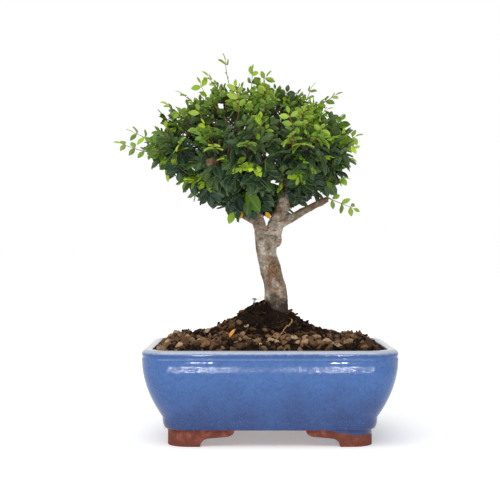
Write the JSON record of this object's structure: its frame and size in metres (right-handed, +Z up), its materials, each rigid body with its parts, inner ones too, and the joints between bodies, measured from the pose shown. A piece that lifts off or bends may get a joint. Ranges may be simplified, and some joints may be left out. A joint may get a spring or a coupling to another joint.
{
  "type": "bonsai tree in a pot",
  "caption": "Small broadleaf bonsai with a rounded leafy crown and forked grey trunk on a peat mound with gravel, in a rectangular blue glazed pot on cloud feet.",
  "frame": {"origin": "middle of the footprint of the whole plant, on the surface that the pot's feet stand on", "axes": "+Z up, +X along the pot's length towards its right end, -Y towards the front, where the viewer stands"},
  "size_m": [0.2236, 0.148, 0.3116],
  "materials": {
    "glazed_stoneware": "gloss",
    "drain_mesh_plastic": "matte",
    "peat_soil": "matte",
    "bark": "matte",
    "foliage": "satin",
    "gravel": "matte",
    "dry_leaf": "matte",
    "dry_root": "matte",
    "weed": "matte"
  },
  "bodies": {
    "root": {"drain_mesh_left": "drain_mesh_plastic", "drain_mesh_right": "drain_mesh_plastic", "fallen_leaf": "dry_leaf", "leaf_spray_01": "foliage", "leaf_spray_02": "foliage", "leaf_spray_03": "foliage", "leaf_spray_04": "foliage", "leaf_spray_05": "foliage", "leaf_spray_06": "foliage", "leaf_spray_07": "foliage", "leaf_spray_08": "foliage", "leaf_spray_09": "foliage", "leaf_spray_10": "foliage", "leaf_spray_11": "foliage", "leaf_spray_12": "foliage", "leaf_spray_13": "foliage", "leaf_spray_14": "foliage", "leaf_spray_15": "foliage", "leaf_spray_16": "foliage", "leaf_spray_17": "foliage", "leaf_spray_18": "foliage", "leaf_spray_19": "foliage", "leaf_spray_20": "foliage", "leaf_spray_21": "foliage", "leaf_spray_22": "foliage", "leaf_spray_23": "foliage", "leaf_spray_24": "foliage", "pebble_01": "gravel", "pebble_02": "gravel", "pebble_03": "gravel", "pebble_04": "gravel", "pebble_05": "gravel", "pebble_06": "gravel", "pebble_07": "gravel", "pebble_08": "gravel", "pebble_09": "gravel", "pebble_10": "gravel", "pebble_11": "gravel", "pebble_12": "gravel", "pebble_13": "gravel", "pebble_14": "gravel", "pot": "glazed_stoneware", "rootlet": "dry_root", "seedling": "weed", "shoot_left": "foliage", "shoot_low_right": "foliage", "shoot_right": "foliage", "shoot_top": "foliage", "shoot_upper_left": "foliage", "shoot_upper_right": "foliage", "soil": "peat_soil", "trunk": "bark"}
  },
  "joints": []
}
